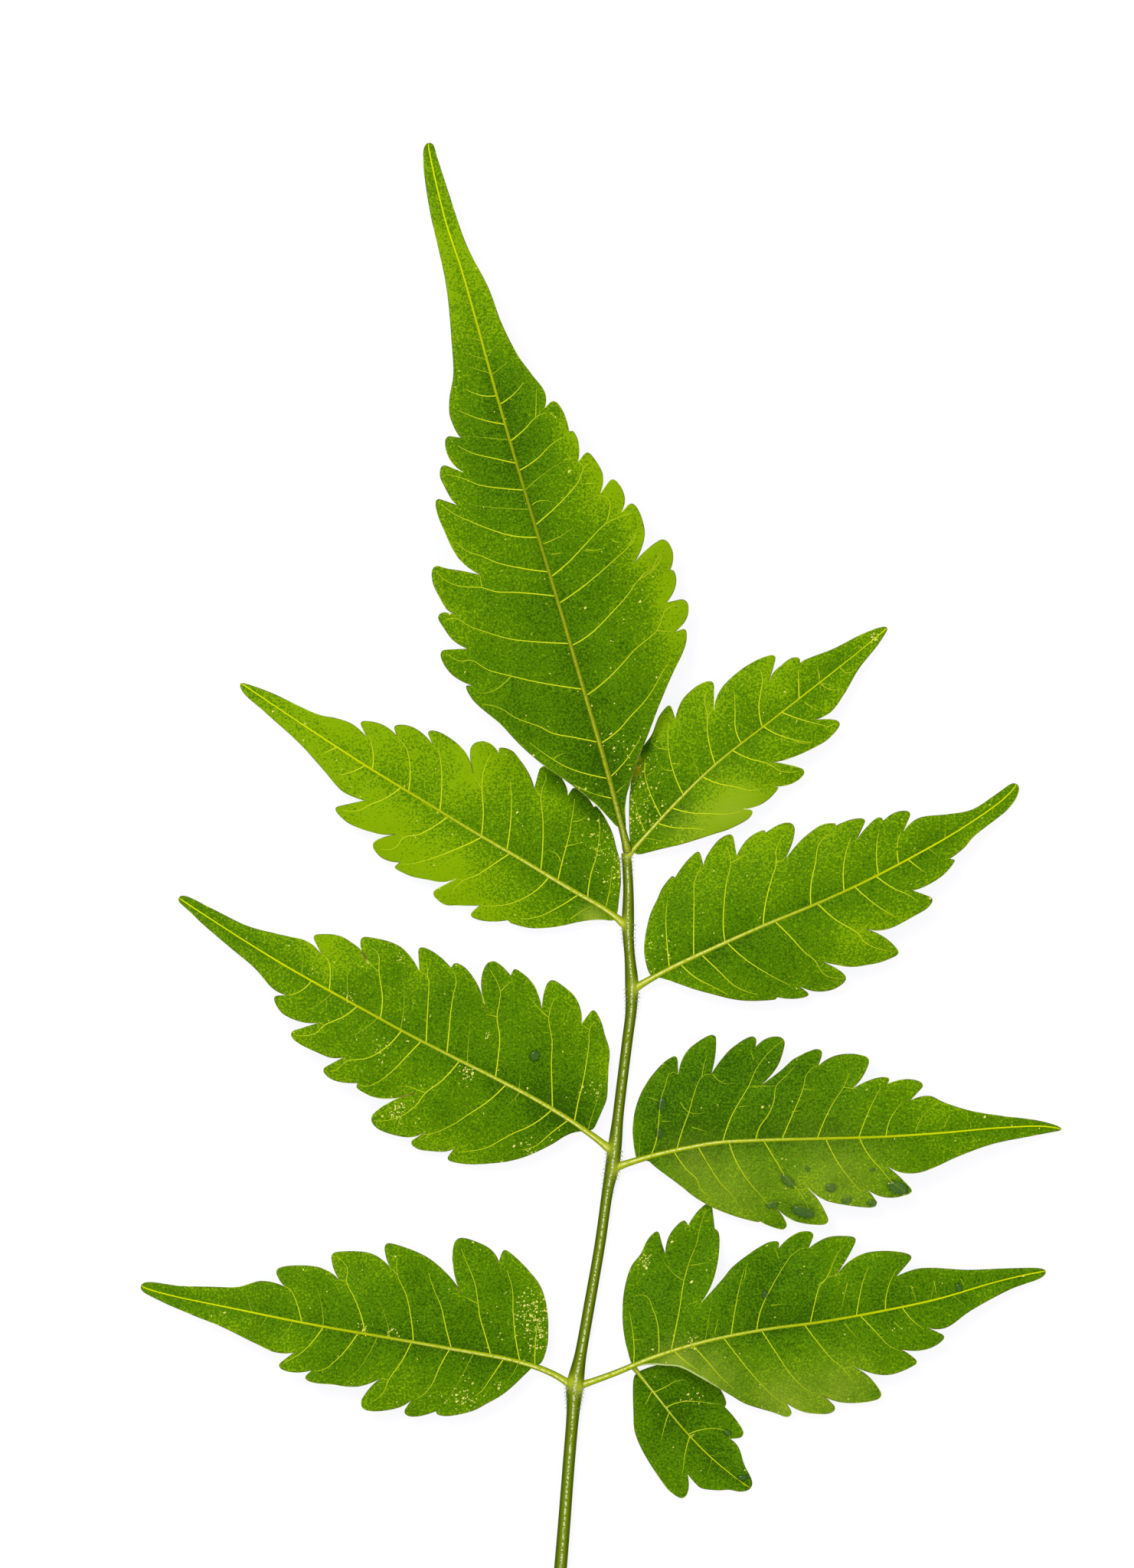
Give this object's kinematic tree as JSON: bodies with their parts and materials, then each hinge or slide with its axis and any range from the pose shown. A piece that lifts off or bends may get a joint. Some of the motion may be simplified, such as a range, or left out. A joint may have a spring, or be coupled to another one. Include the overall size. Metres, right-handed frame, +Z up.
{
  "type": "neem leaf",
  "caption": "Compound neem leaf lying flat: a slender green stalk with toothed, tapering leaflets along both sides and one at its end.",
  "frame": {"origin": "centre of the flat spot under the stalk, on the surface that the leaf lies on, near the leaf's balance point", "axes": "+Z up, out of the surface and through the leaf's upper face; +Y along the stalk towards the leaflet at its end; +X to the right, seen from above"},
  "size_m": [0.1209, 0.1996, 0.0076],
  "materials": {
    "leaflet": "satin waxy leaf blade",
    "stalk": "satin green stalk"
  },
  "bodies": {
    "root": {"stalk": "stalk", "leaflet_terminal": "leaflet", "leaflet_left_1": "leaflet", "leaflet_left_2": "leaflet", "leaflet_left_3": "leaflet", "leaflet_right_1": "leaflet", "leaflet_right_2": "leaflet", "leaflet_right_3": "leaflet", "leaflet_right_4": "leaflet", "leaflet_right_4_side": "leaflet"}
  },
  "joints": []
}
